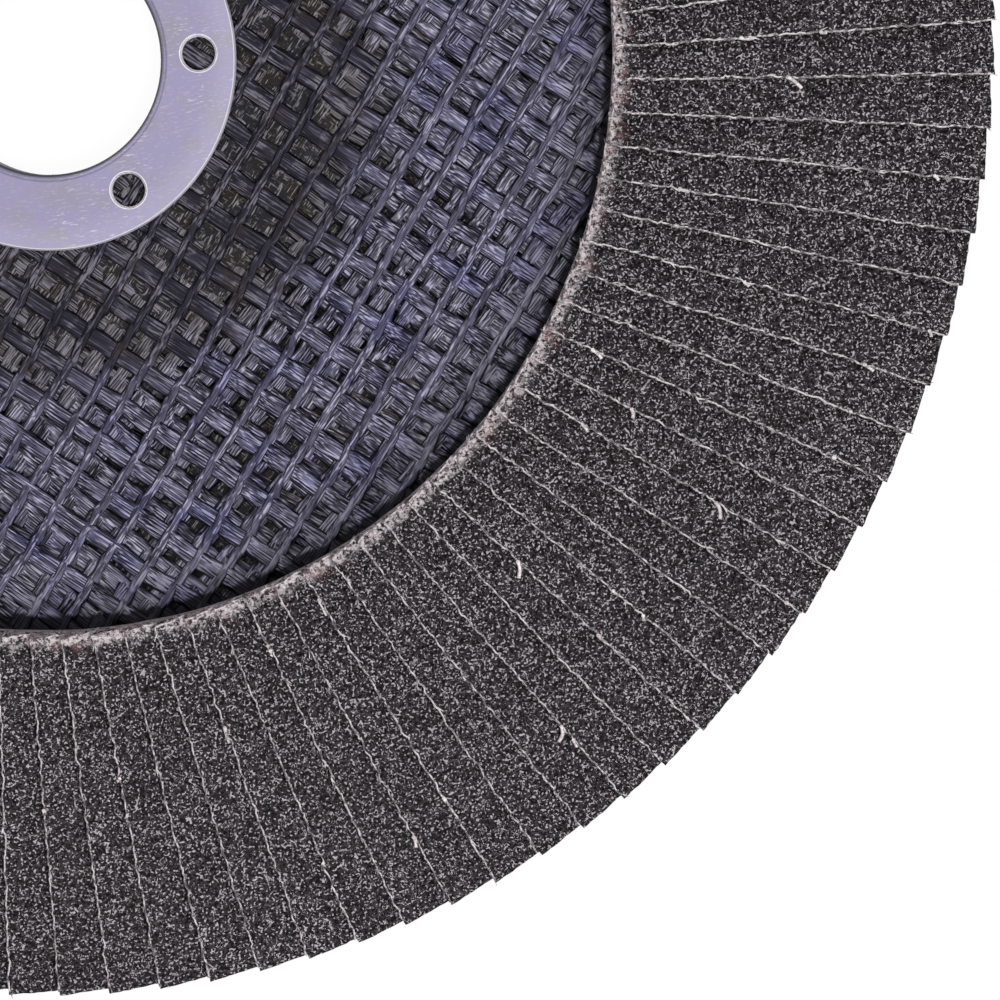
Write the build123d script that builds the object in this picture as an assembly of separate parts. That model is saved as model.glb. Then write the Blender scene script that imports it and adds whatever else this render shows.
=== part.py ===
from build123d import *
import os
from math import atan, cos, radians, sin, sqrt, tan

# Flap disc, 180 mm by 22.23 mm bore: a dished glass-fibre plate that carries a ring of abrasive-cloth
# flaps on an adhesive bed, with a pressed metal ring in the bore.
# The disc lies on the back of its hub. The origin is on the bore axis in the plane of the hub's back,
# and +Z points to the abrasive face. Lengths are in millimetres and angles in degrees.

# ---- driving dimensions ------------------------------------------------------------------------

# Fits
FIT_GAP = 0.05               # between curved faces that seat on each other

# Flaps: straight pieces cut from a roll of abrasive cloth
TIP_RADIUS = 90.0            # the outer corner of each flap's free edge, so the disc is 180 mm across
FLAP_INNER_RADIUS = 55.0     # the inner corner of the same edge
FLAP_WIDTH = 18.0            # across the cloth, from the free edge to the glued one
FLAP_THICKNESS = 1.0         # cloth, size coats and grain, measured upright
FLAP_AIR = 0.12              # upright gap between one flap and the next at their inner ends
FLAP_EDGE_OFFSET = 3.45      # the free edge's line passes the bore axis at this distance
FLAP_END_SKEW = 2.4          # the end cuts lean this much from square
FLAPS_PER_SET = 5            # flaps in one node, evenly spread around the disc
FLAP_SETS = 23
FIRST_FLAP_ANGLE = -4.87     # direction of the first flap's free edge

# Adhesive bed under the flaps
BED_THICKNESS = 0.8
BED_INSET = 2.0              # the bed starts this far outside the flaps' inner ends
BED_RIM_MARGIN = 0.8         # and stops this far inside the plate's rim

# Backing plate: one pressed laminate of woven glass and resin
FLAP_OVERHANG = 5.0          # the flaps' tips reach this far past the plate's rim
HUB_THICKNESS = 3.2
SEAT_THICKNESS = 2.6         # of the flat ring that carries the flaps
HUB_FLAT_RADIUS = 33.0       # floor of the depressed centre, on the abrasive side
SEAT_INSET = 0.5             # the flat seat starts this far outside the flaps' inner ends
SEAT_HEIGHT = 7.0            # top of the seat above the hub's back
WEB_BEND = 5.0               # radius of the two bends on the side where they are tight

# Hub ring: sheet metal, with a flange on the abrasive side and a collar through the bore
BORE_RADIUS = 11.115
RING_SHEET = 0.6
RING_FLANGE = 7.385          # width of the flange, from the bore out
RING_BEND = 0.1              # inside radius of the bend from flange to collar
RING_EDGE = 0.15             # bevel of the flange's rim
RING_HOLES = 6
RING_HOLE_RADIUS = 1.6
RING_HOLE_BEVEL = 0.2        # bevel of each hole where the punch went in
RING_HOLE_OFFSET = 3.745     # of the holes' centres from the bore
RING_HOLE_ANGLE = 2.5        # direction of the first hole
FLARE_DEPTH = 1.0            # how deep the collar's flared end sits in the plate
FLARE_RECESS = 0.1           # the flared end stays this far above the hub's back

# ---- sizes that follow -------------------------------------------------------------------------

flap_count = FLAPS_PER_SET * FLAP_SETS
flap_pitch = 360 / flap_count
inner_reach = sqrt(FLAP_INNER_RADIUS**2 - FLAP_EDGE_OFFSET**2)
outer_reach = sqrt(TIP_RADIUS**2 - FLAP_EDGE_OFFSET**2)
flap_lean = atan((FLAP_THICKNESS + FLAP_AIR) / (radians(flap_pitch) * inner_reach))
plate_radius = TIP_RADIUS - FLAP_OVERHANG
seat_inner_radius = FLAP_INNER_RADIUS + SEAT_INSET
bed_top = SEAT_HEIGHT + BED_THICKNESS
bed_inner_radius = FLAP_INNER_RADIUS + BED_INSET
bed_outer_radius = plate_radius - BED_RIM_MARGIN
collar_radius = BORE_RADIUS + RING_SHEET
ring_radius = BORE_RADIUS + RING_FLANGE
plate_bore_radius = collar_radius + FIT_GAP
ring_top = HUB_THICKNESS + RING_SHEET


def turned(profile):
    """A solid of revolution about the bore axis, from a closed outline of (radius, height) points."""
    return revolve(Plane.XZ * make_face(profile), Axis.Z)


def copies_about_bore(shape, count, first_angle):
    """The same shape, evenly spread around the bore axis."""
    return [Rot(0, 0, first_angle + i * 360 / count) * shape for i in range(count)]


# ---- backing plate -----------------------------------------------------------------------------


def backing_plate():
    """Dished plate of even section: a flat hub, a sloping web and the flat seat of the flaps."""
    seat_back = SEAT_HEIGHT - SEAT_THICKNESS
    outline = Polyline(
        (plate_bore_radius, 0),
        (HUB_FLAT_RADIUS + HUB_THICKNESS / 2, 0),
        (seat_inner_radius + SEAT_THICKNESS / 2, seat_back),
        (plate_radius, seat_back),
        (plate_radius, SEAT_HEIGHT),
        (seat_inner_radius, SEAT_HEIGHT),
        (HUB_FLAT_RADIUS, HUB_THICKNESS),
        (plate_bore_radius, HUB_THICKNESS),
        close=True,
    )
    face = make_face(outline)
    corners = face.vertices()
    hub_bends = corners.filter_by(lambda v: HUB_FLAT_RADIUS <= v.X < seat_inner_radius)
    seat_bends = corners.filter_by(lambda v: seat_inner_radius <= v.X < plate_radius)
    face = fillet(hub_bends + seat_bends, WEB_BEND)
    # the back of the bore is countersunk for the ring's flared end
    seat_of_flare = face.vertices().sort_by(lambda v: v.X + v.Y)[0]
    face = chamfer(seat_of_flare, FLARE_DEPTH)
    return revolve(Plane.XZ * face, Axis.Z)


# ---- hub ring ----------------------------------------------------------------------------------


def hub_ring():
    """Pressed ring: flange with punched holes, collar down through the plate, end flared into it."""
    flare_line = collar_radius + FLARE_DEPTH            # radius plus height is constant on the 45 degree cone
    bore_line = flare_line - RING_SHEET * sqrt(2)
    outline = Polyline(
        (ring_radius, HUB_THICKNESS),
        (ring_radius, ring_top - RING_EDGE),
        (ring_radius - RING_EDGE, ring_top),
        (BORE_RADIUS, ring_top),
        (BORE_RADIUS, bore_line - BORE_RADIUS),
        (bore_line - FLARE_RECESS, FLARE_RECESS),
        (flare_line - FLARE_RECESS, FLARE_RECESS),
        (collar_radius, FLARE_DEPTH),
        (collar_radius, HUB_THICKNESS),
        close=True,
    )
    face = make_face(outline)
    bend = face.vertices().filter_by(lambda v: abs(v.X - BORE_RADIUS) < FIT_GAP).sort_by(Axis.Y)[-1]
    face = fillet(bend, RING_SHEET + RING_BEND)
    ring = revolve(Plane.XZ * face, Axis.Z)
    punch = Pos(BORE_RADIUS + RING_HOLE_OFFSET, 0, HUB_THICKNESS) * Cylinder(
        RING_HOLE_RADIUS, RING_SHEET, align=(Align.CENTER, Align.CENTER, Align.MIN)
    )
    ring = ring - copies_about_bore(punch, RING_HOLES, RING_HOLE_ANGLE)
    hole_edges = ring.edges().filter_by(GeomType.CIRCLE).filter_by(
        lambda e: abs(e.radius - RING_HOLE_RADIUS) < FIT_GAP and abs(e.center().Z - ring_top) < FIT_GAP
    )
    return chamfer(hole_edges, RING_HOLE_BEVEL)


# ---- flaps and their bed -----------------------------------------------------------------------


def flap_end(reach):
    """Cut end of a flap: a thin parallelogram that leans down from the free edge to the glued one."""
    across = FLAP_WIDTH * cos(flap_lean)
    rise = FLAP_WIDTH * sin(flap_lean)
    skew = across * tan(radians(FLAP_END_SKEW))
    free_edge = Vector(reach, -FLAP_EDGE_OFFSET, bed_top + rise)
    glued_edge = Vector(reach - skew, across - FLAP_EDGE_OFFSET, bed_top)
    upright = Vector(0, 0, FLAP_THICKNESS)
    return Face(Wire.make_polygon([free_edge, glued_edge, glued_edge + upright, free_edge + upright]))


def flap():
    """One flap: a flat piece of cloth that lies on its neighbour and spreads away from it towards the rim."""
    return loft([flap_end(inner_reach), flap_end(outer_reach)], ruled=True)


def adhesive_bed():
    """Flat ring of adhesive on the seat, which the flaps' glued edges stand on."""
    return turned(
        Polyline(
            (bed_inner_radius, SEAT_HEIGHT),
            (bed_outer_radius, SEAT_HEIGHT),
            (bed_outer_radius, bed_top),
            (bed_inner_radius, bed_top),
            close=True,
        )
    )


# ---- write one file per sub-part ---------------------------------------------------------------

os.makedirs("parts", exist_ok=True)
export_step(backing_plate(), "parts/backing_plate.step")
export_step(hub_ring(), "parts/hub_ring.step")
export_step(adhesive_bed(), "parts/adhesive_bed.step")

one_flap = flap()
for index in range(FLAP_SETS):
    first = FIRST_FLAP_ANGLE + index * flap_pitch
    flap_set = Compound(copies_about_bore(one_flap, FLAPS_PER_SET, first))
    export_step(flap_set, f"parts/flaps_{index + 1:02d}.step")
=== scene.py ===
"""Flap disc: a dished plate of woven glass and resin that carries a ring of abrasive-cloth flaps.

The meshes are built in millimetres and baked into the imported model's metres.
"""

import sys
import logging
import math
import random
from dataclasses import dataclass, field
from enum import Enum
from typing import Any

import bpy
import numpy as np
from bpy.types import ID, Material, Mesh, Node, NodeSocket, NodeTree, Object
from mathutils import Euler, Matrix, Vector, noise


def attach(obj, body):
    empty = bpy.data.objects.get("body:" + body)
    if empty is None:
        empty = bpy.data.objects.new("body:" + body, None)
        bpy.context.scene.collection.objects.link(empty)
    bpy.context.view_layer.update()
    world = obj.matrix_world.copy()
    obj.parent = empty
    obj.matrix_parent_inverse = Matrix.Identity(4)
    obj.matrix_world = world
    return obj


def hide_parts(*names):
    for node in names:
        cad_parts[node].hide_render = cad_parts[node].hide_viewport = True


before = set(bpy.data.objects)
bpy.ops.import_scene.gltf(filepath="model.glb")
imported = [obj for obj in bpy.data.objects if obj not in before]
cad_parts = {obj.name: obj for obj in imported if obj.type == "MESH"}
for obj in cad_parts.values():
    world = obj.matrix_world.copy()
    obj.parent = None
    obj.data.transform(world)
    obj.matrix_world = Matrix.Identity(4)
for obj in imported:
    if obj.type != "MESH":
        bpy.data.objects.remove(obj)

log = logging.getLogger("flap_disc")
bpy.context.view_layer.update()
MM = 0.001
SIDE = "side"
Colour = tuple[float, float, float, float]
Tones = tuple[Colour, Colour]
Span = tuple[float, float]


def srgb(red: float, green: float, blue: float) -> Colour:
    """Linear colour of an sRGB one.

    Args:
        red: first channel, from 0 to 255.
        green: second channel.
        blue: third channel.

    Returns:
        The colour with an alpha of one.
    """
    shares = [value / 255 for value in (red, green, blue)]
    linear = [v / 12.92 if v <= 0.04045 else ((v + 0.055) / 1.055) ** 2.4 for v in shares]
    return (*linear, 1.0)


# ---- sizes of the real disc, in millimetres ----


@dataclass(frozen=True)
class DiscSizes:
    """Sizes that the sub-assemblies share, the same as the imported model's."""

    tip_radius: float = 90.0
    flap_inner_radius: float = 55.0
    flap_width: float = 18.0
    flap_thickness: float = 1.0
    flap_air: float = 0.12
    edge_offset: float = 3.45
    end_skew: float = 2.4
    flaps_per_set: int = 5
    flap_sets: int = 23
    first_angle: float = -4.87
    bed_top: float = 7.8
    seat_top: float = 7.0
    seat_back: float = 4.4
    hub_top: float = 3.2
    hub_radius: float = 33.0
    hub_back_radius: float = 34.6
    seat_radius: float = 55.5
    seat_back_radius: float = 56.8
    plate_radius: float = 85.0
    plate_bore: float = 11.765

    @property
    def flap_count(self) -> int:
        """Number of flaps around the disc."""
        return self.flaps_per_set * self.flap_sets

    @property
    def pitch(self) -> float:
        """Angle from one flap to the next, in degrees."""
        return 360 / self.flap_count

    @property
    def inner_reach(self) -> float:
        """Distance of a free edge's inner corner along its own line."""
        return math.sqrt(self.flap_inner_radius**2 - self.edge_offset**2)

    @property
    def outer_reach(self) -> float:
        """Distance of a free edge's outer corner along its own line."""
        return math.sqrt(self.tip_radius**2 - self.edge_offset**2)

    @property
    def lean(self) -> float:
        """Lean of the cloth from level, in radians."""
        stride = math.radians(self.pitch) * self.inner_reach
        return math.atan((self.flap_thickness + self.flap_air) / stride)

    @property
    def top(self) -> float:
        """Level of the flaps' highest edges."""
        return self.bed_top + self.flap_width * math.sin(self.lean) + self.flap_thickness


SIZES = DiscSizes()


# ---- node trees ----


class Sock:
    """A value in a node tree, whose operators add Math nodes."""

    def __init__(self, net: "Net", socket: NodeSocket) -> None:
        """Keeps the tree and the output socket."""
        self.net = net
        self.socket = socket

    def _math(self, operation: str, *values: Any) -> "Sock":
        """Adds a Math node.

        Args:
            operation: the node's operation.
            values: its inputs in order, each a number or a Sock.

        Returns:
            The node's result.
        """
        return self.net.add("ShaderNodeMath", {"operation": operation}, dict(enumerate(values)))

    def __add__(self, other: Any) -> "Sock":
        """Sum."""
        return self._math("ADD", self, other)

    def __radd__(self, other: Any) -> "Sock":
        """Sum, reflected."""
        return self._math("ADD", other, self)

    def __sub__(self, other: Any) -> "Sock":
        """Difference."""
        return self._math("SUBTRACT", self, other)

    def __rsub__(self, other: Any) -> "Sock":
        """Difference, reflected."""
        return self._math("SUBTRACT", other, self)

    def __mul__(self, other: Any) -> "Sock":
        """Product."""
        return self._math("MULTIPLY", self, other)

    def __rmul__(self, other: Any) -> "Sock":
        """Product, reflected."""
        return self._math("MULTIPLY", other, self)

    def __truediv__(self, other: Any) -> "Sock":
        """Quotient."""
        return self._math("DIVIDE", self, other)

    def __rtruediv__(self, other: Any) -> "Sock":
        """Quotient, reflected."""
        return self._math("DIVIDE", other, self)

    def __pow__(self, other: Any) -> "Sock":
        """Power."""
        return self._math("POWER", self, other)

    def __rpow__(self, other: Any) -> "Sock":
        """Power, reflected."""
        return self._math("POWER", other, self)

    def cos(self) -> "Sock":
        """Cosine of an angle in radians."""
        return self._math("COSINE", self)

    def sin(self) -> "Sock":
        """Sine of an angle in radians."""
        return self._math("SINE", self)

    def floor(self) -> "Sock":
        """The whole number below."""
        return self._math("FLOOR", self)

    def bearing(self, x: "Sock") -> "Sock":
        """Angle in radians of the point (x, this value), from the X axis."""
        return self._math("ARCTAN2", self, x)

    def at_least(self, other: Any) -> "Sock":
        """The larger of the two."""
        return self._math("MAXIMUM", self, other)

    def at_most(self, other: Any) -> "Sock":
        """The smaller of the two."""
        return self._math("MINIMUM", self, other)

    def ramp(self, low: float, high: float, to_low: float = 0.0, to_high: float = 1.0) -> "Sock":
        """Maps a range of the value onto another, easing in and out and held at its ends.

        Args:
            low: start of the range.
            high: end of the range.
            to_low: result at the start.
            to_high: result at the end.

        Returns:
            The mapped value.
        """
        return self.net.add(
            "ShaderNodeMapRange",
            {"interpolation_type": "SMOOTHSTEP", "clamp": True},
            {"Value": self, "From Min": low, "From Max": high, "To Min": to_low, "To Max": to_high},
        )


class Net:
    """Adds nodes to one tree."""

    def __init__(self, tree: NodeTree) -> None:
        """Keeps the tree."""
        self.tree = tree

    def add(self, kind: str, settings: dict[str, Any] | None = None,
            inputs: dict[Any, Any] | None = None, output: Any = None) -> Sock:
        """Adds a node of a type, its settings first and then its inputs.

        Args:
            kind: the node's type.
            settings: its properties by name.
            inputs: values or links of its sockets, by name or index.
            output: name or index of the output to return, or None for the first one that is on.

        Returns:
            The chosen output.
        """
        made = self.tree.nodes.new(kind)
        for name, value in (settings or {}).items():
            setattr(made, name, value)
        for key, value in (inputs or {}).items():
            self.link(self._input(made, key), value)
        return Sock(self, self._output(made, output)) if made.outputs else Sock(self, None)

    @staticmethod
    def _input(made: Node, key: Any) -> NodeSocket:
        """The input of that index, or the one of that name that is on."""
        named = (s for s in made.inputs if s.name == key and s.enabled)
        return next(named, None) or made.inputs[key]

    @staticmethod
    def _output(made: Node, key: Any) -> NodeSocket:
        """The output of that index or name, or the first that is on."""
        shown = (s for s in made.outputs if s.enabled and key in (None, s.name))
        return made.outputs[key] if isinstance(key, int) else next(shown)

    def link(self, target: NodeSocket, value: Any) -> None:
        """Links a Sock to an input, or sets the input's own value.

        Args:
            target: the input.
            value: what it gets, or None to leave it.
        """
        if isinstance(value, Sock):
            self.tree.links.new(value.socket, target)
        elif value is not None:
            target.default_value = value

    def vector(self, operation: str, first: Any, second: Any = None, scale: Any = None,
               output: Any = None) -> Sock:
        """Vector Math.

        Args:
            operation: the node's operation.
            first: first vector.
            second: second vector, where the operation has one.
            scale: factor, for SCALE.
            output: output to return, for those that give a number.

        Returns:
            The result.
        """
        inputs = {key: value for key, value in ((0, first), (1, second), ("Scale", scale))
                  if value is not None}
        return self.add("ShaderNodeVectorMath", {"operation": operation}, inputs, output)

    def noise(self, where: Sock, scale: float, detail: float = 2.0, rough: float = 0.5,
              distortion: float = 0.0) -> Sock:
        """Noise from 0 to 1 at a place, centred on a half."""
        return self.add("ShaderNodeTexNoise", {"noise_dimensions": "3D"}, {
            "Vector": where, "Scale": scale, "Detail": detail, "Roughness": rough,
            "Distortion": distortion}, 0)

    def xyz(self, x: Any = 0.0, y: Any = 0.0, z: Any = 0.0) -> Sock:
        """A vector of three numbers."""
        return self.add("ShaderNodeCombineXYZ", None, {0: x, 1: y, 2: z})

    def split(self, where: Sock) -> tuple[Sock, Sock, Sock]:
        """The three numbers of a vector."""
        parts = self.add("ShaderNodeSeparateXYZ", None, {0: where}, 0).socket.node.outputs
        return Sock(self, parts[0]), Sock(self, parts[1]), Sock(self, parts[2])

    def radius(self, where: Sock) -> Sock:
        """Distance from the bore axis."""
        x, y, _ = self.split(where)
        return (x * x + y * y) ** 0.5

    def seen(self) -> Sock:
        """One for rays of the camera and of glossy surfaces, and zero for others."""
        rays = self.tree.nodes.new("ShaderNodeLightPath").outputs
        return Sock(self, rays["Is Camera Ray"]).at_least(Sock(self, rays["Is Glossy Ray"]))


class ShaderNet(Net):
    """The tree of one material, with its principled shader."""

    def __init__(self, name: str) -> None:
        """Makes the material and clears its tree.

        Args:
            name: the material's name.
        """
        self.material = bpy.data.materials.new(name)
        self.material.use_nodes = True
        super().__init__(self.material.node_tree)
        self.tree.nodes.clear()
        self.surface = self.tree.nodes.new("ShaderNodeBsdfPrincipled")
        self.target = self.tree.nodes.new("ShaderNodeOutputMaterial")
        self.tree.links.new(self.surface.outputs[0], self.target.inputs["Surface"])

    def place(self) -> Sock:
        """Object coordinates in millimetres."""
        where = self.add("ShaderNodeTexCoord", None, None, "Object")
        return self.vector("SCALE", where, scale=1 / MM)

    def turned(self, where: Sock, heading: float, along: float, across: float) -> Sock:
        """Coordinates turned to a heading and stretched.

        Args:
            where: place in millimetres.
            heading: direction of the first axis, in degrees from X.
            along: scale along the heading.
            across: scale across it, and upright.

        Returns:
            The turned place.
        """
        return self.add(
            "ShaderNodeMapping", {"vector_type": "TEXTURE"},
            {"Vector": where, "Rotation": (0, 0, math.radians(heading)),
             "Scale": (1 / along, 1 / across, 1 / across)},
        )

    def streaks(self, where: Sock, heading: float, along: float, across: float,
                detail: float = 1.0, rough: float = 0.5) -> Sock:
        """Noise drawn out along a heading.

        Args:
            where: place in millimetres.
            heading: direction of the streaks, in degrees from X.
            along: scale along the heading.
            across: scale across it, and upright.
            detail: octaves of the noise.
            rough: share of the finer octaves.

        Returns:
            Noise from 0 to 1, centred on a half.
        """
        return self.noise(self.turned(where, heading, along, across), 1.0, detail, rough)

    def shifted(self, where: Sock, x: float, y: float, z: float) -> Sock:
        """The place moved by three numbers, so that one noise differs from another."""
        return self.vector("ADD", where, (x, y, z))

    def blend(self, amount: Any, low: Any, high: Any, mode: str = "MIX") -> Sock:
        """Mixes two colours.

        Args:
            amount: share of the second colour.
            low: first colour.
            high: second colour.
            mode: the way of blending.

        Returns:
            The mixed colour.
        """
        return self.add(
            "ShaderNodeMix", {"data_type": "RGBA", "blend_type": mode, "clamp_factor": True},
            {"Factor": amount, "A": low, "B": high}, "Result",
        )

    def bump(self, height: Sock, distance: float, strength: float = 1.0) -> Sock:
        """A normal bent by a height that runs from 0 to 1, over a distance in millimetres."""
        return self.add("ShaderNodeBump", None,
                        {"Strength": strength, "Distance": distance * MM, "Height": height})

    def dress(self, colour: Any, roughness: Any, normal: Any = None,
              **fixed: Any) -> Material:
        """Feeds the principled shader.

        Args:
            colour: base colour.
            roughness: roughness.
            normal: bent normal, or None.
            fixed: values that are the same all over, by socket name with _ for a space.

        Returns:
            The material.
        """
        self.link(self.surface.inputs["Base Color"], colour)
        self.link(self.surface.inputs["Roughness"], roughness)
        if normal is not None:
            self.link(self.surface.inputs["Normal"], normal)
        for name, value in fixed.items():
            self.surface.inputs[name.replace("_", " ")].default_value = value
        return self.material


class GeometryTree(Net):
    """A geometry node tree with named inputs."""

    def __init__(self, name: str) -> None:
        """Makes the tree with its geometry input and output.

        Args:
            name: the tree's name.
        """
        super().__init__(bpy.data.node_groups.new(name, "GeometryNodeTree"))
        face = self.tree.interface
        face.new_socket("Geometry", in_out="INPUT", socket_type="NodeSocketGeometry")
        face.new_socket("Geometry", in_out="OUTPUT", socket_type="NodeSocketGeometry")
        self.entry = self.tree.nodes.new("NodeGroupInput")
        self.exit = self.tree.nodes.new("NodeGroupOutput")
        self.names: dict[str, str] = {}

    @property
    def geometry(self) -> Sock:
        """The geometry that comes in."""
        return Sock(self, self.entry.outputs[0])

    def given(self, name: str, kind: str = "Float") -> Sock:
        """Adds a named input.

        Args:
            name: its name.
            kind: Float, Int, Material or Vector.

        Returns:
            The input's value inside the tree.
        """
        made = self.tree.interface.new_socket(name, in_out="INPUT", socket_type=f"NodeSocket{kind}")
        self.names[name] = made.identifier
        return Sock(self, next(s for s in self.entry.outputs if s.identifier == made.identifier))

    def numbers(self, *names: str) -> list[Sock]:
        """Adds a named number for each name."""
        return [self.given(name) for name in names]

    def place(self) -> Sock:
        """Each point's position."""
        return self.add("GeometryNodeInputPosition")

    def attribute(self, name: str) -> Sock:
        """A number that the mesh carries."""
        return self.add("GeometryNodeInputNamedAttribute", {"data_type": "FLOAT"}, {"Name": name})

    def random(self, kind: str, **inputs: Any) -> Sock:
        """A random value of that type for each item."""
        return self.add("FunctionNodeRandomValue", {"data_type": kind}, inputs)

    def sway(self, where: Sock) -> Sock:
        """Slow rise and fall of the flaps, which the fuzz on them follows."""
        return self.xyz(0, 0, (self.noise(where, 0.07, 1.0) - 0.7) * 0.5)

    def curve(self, step: Sock | None = None) -> Sock:
        """The incoming edges as curves, with their own points or one at each step."""
        made = self.add("GeometryNodeMeshToCurve", None, {"Mesh": self.geometry})
        return made if step is None else self.add(
            "GeometryNodeResampleCurve", {"mode": "LENGTH"}, {"Curve": made, "Length": step})

    def widened(self, curve: Sock, radius: Sock) -> Sock:
        """The curve with a radius at each point."""
        return self.add("GeometryNodeSetCurveRadius", None, {"Curve": curve, "Radius": radius})

    def circle(self, sides: Any, radius: Any) -> Sock:
        """A circle of few sides, for the outline of a sweep."""
        return self.add("GeometryNodeCurvePrimitiveCircle", {"mode": "RADIUS"},
                        {"Resolution": sides, "Radius": radius})

    def swept(self, curve: Sock, outline: Sock) -> Sock:
        """The outline swept along the curve, with its ends closed."""
        return self.add("GeometryNodeCurveToMesh", None,
                        {"Curve": curve, "Profile Curve": outline, "Fill Caps": True})

    def spread(self, points: Sock, instance: Sock, **inputs: Any) -> Sock:
        """The instance set on each point."""
        return self.add("GeometryNodeInstanceOnPoints", None,
                        {"Points": points, "Instance": instance, **inputs})

    def realized(self, geometry: Sock) -> Sock:
        """The geometry with its instances made real."""
        return self.add("GeometryNodeRealizeInstances", None, {"Geometry": geometry})

    def moved(self, geometry: Sock, offset: Sock) -> Sock:
        """The geometry with its points moved by an offset."""
        return self.add("GeometryNodeSetPosition", None, {"Geometry": geometry, "Offset": offset})

    def dressed(self, geometry: Sock, material: Sock, selection: Any = None) -> Sock:
        """The geometry with a material on the selected faces."""
        return self.add("GeometryNodeSetMaterial", None,
                        {"Geometry": geometry, "Selection": selection, "Material": material})

    def close(self, geometry: Sock) -> None:
        """Sends the geometry out."""
        self.link(self.exit.inputs[0], geometry)

    def bake(self, source: Object, name: str, values: dict[str, Any]) -> Object:
        """Runs the tree on an object and keeps the result as a plain mesh, in metres.

        Args:
            source: the object that the tree starts from, which is removed.
            name: name of the new piece.
            values: inputs by name.

        Returns:
            The new piece at the origin.
        """
        modifier = source.modifiers.new("nodes", "NODES")
        modifier.node_group = self.tree
        for key, value in values.items():
            modifier[self.names[key]] = value
        graph = bpy.context.evaluated_depsgraph_get()
        mesh = bpy.data.meshes.new_from_object(source.evaluated_get(graph))
        source.modifiers.remove(modifier)
        bpy.data.objects.remove(source)
        mesh.transform(Matrix.Scale(MM, 4))
        mesh.name = name
        return placed(name, mesh)


def placed(name: str, data: ID) -> Object:
    """A new object at the origin.

    Args:
        name: its name.
        data: its mesh, lamp or camera.

    Returns:
        The object.
    """
    piece = bpy.data.objects.new(name, data)
    bpy.context.collection.objects.link(piece)
    return piece


def mesh_of(name: str, points: Any, faces: Any, edges: Any = ()) -> Mesh:
    """A mesh from lists.

    Args:
        name: its name.
        points: places.
        faces: point numbers of each face.
        edges: point numbers of each loose edge.

    Returns:
        The mesh.
    """
    mesh = bpy.data.meshes.new(name)
    mesh.from_pydata(*([tuple(item) for item in items] for items in (points, edges, faces)))
    mesh.update()
    return mesh


def on_root(piece: Object, slot: str, *nodes: str) -> Object:
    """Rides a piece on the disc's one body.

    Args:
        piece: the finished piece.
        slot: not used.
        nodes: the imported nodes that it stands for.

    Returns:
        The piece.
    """
    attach(piece, "root")
    if nodes:
        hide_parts(*nodes)
    faces = sum(len(p.vertices) - 2 for p in piece.data.polygons)
    log.info("%s: %d triangles", piece.name, faces)
    return piece


# ---- finishes ----


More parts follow.
